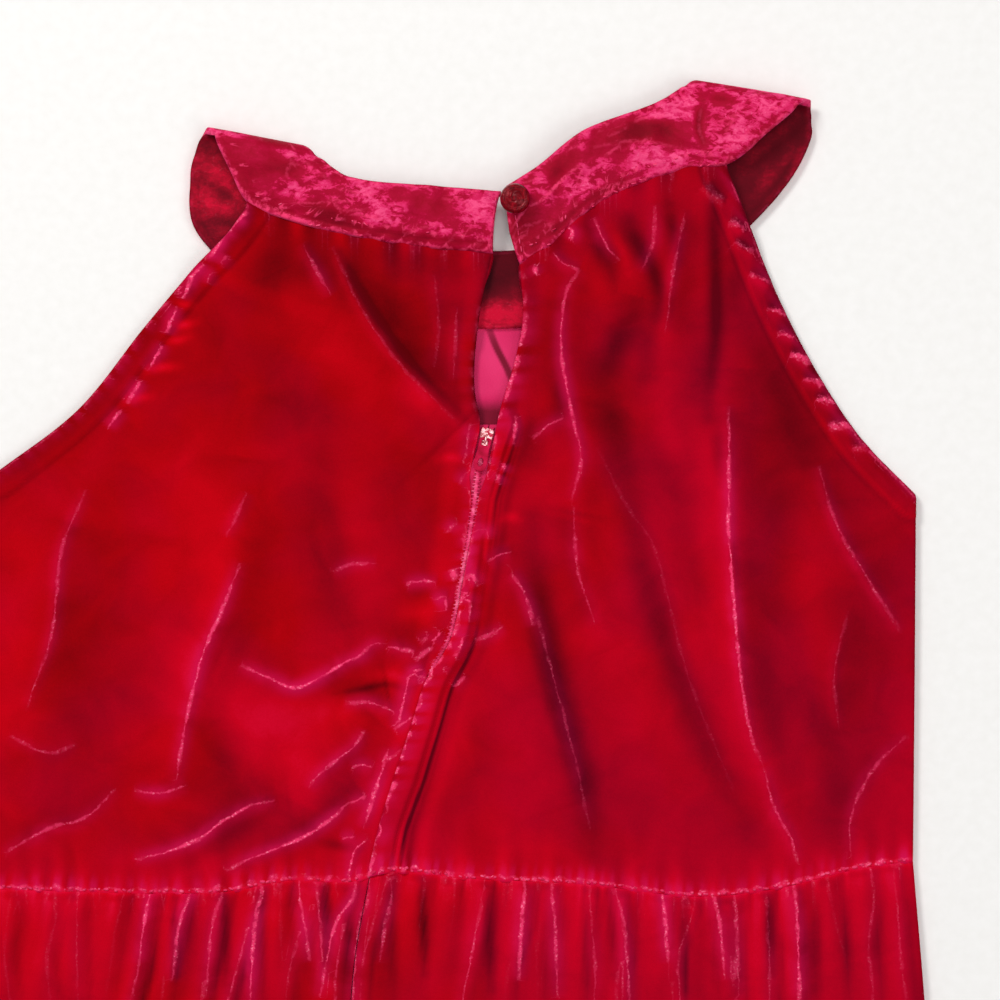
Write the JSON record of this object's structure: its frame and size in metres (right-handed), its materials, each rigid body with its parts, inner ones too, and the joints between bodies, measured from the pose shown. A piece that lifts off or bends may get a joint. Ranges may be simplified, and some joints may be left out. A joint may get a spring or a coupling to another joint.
{
  "type": "jumpsuit",
  "caption": "Small child's sleeveless velvet jumpsuit laid flat with its back up, buttoned at the neck and zipped down the centre back.",
  "frame": {"origin": "on the surface that the garment lies on, under the waist seam", "axes": "+Y from the legs towards the neck, +X to the right as seen from above, +Z away from the surface"},
  "size_m": [0.3498, 0.7334, 0.0152],
  "materials": {
    "velvet": "deep red pile velvet",
    "band_velvet": "crushed velvet with a pink sheen",
    "tape": "woven zip tape",
    "enamel": "red enamel, worn to bare metal at its edges",
    "button_gloss": "glossy dark red"
  },
  "bodies": {
    "garment": {"back_left": "velvet", "back_right": "velvet", "front_bodice": "velvet", "leg_back_left": "velvet", "leg_back_right": "velvet", "leg_front_left": "velvet", "leg_front_right": "velvet", "neckband": "band_velvet", "button_loop": "band_velvet", "zip_tape": "tape", "zip_slider": "enamel", "button": "button_gloss"},
    "pull_tab": {"zip_pull": "enamel"}
  },
  "joints": [
    {"name": "pull_hinge", "type": "hinge", "parent": "garment", "child": "pull_tab", "pos_m": [-0.00479, 0.14847, 0.0052], "axis": [-0.9757, 0.2189, 0], "range_deg": [0, 150]}
  ]
}
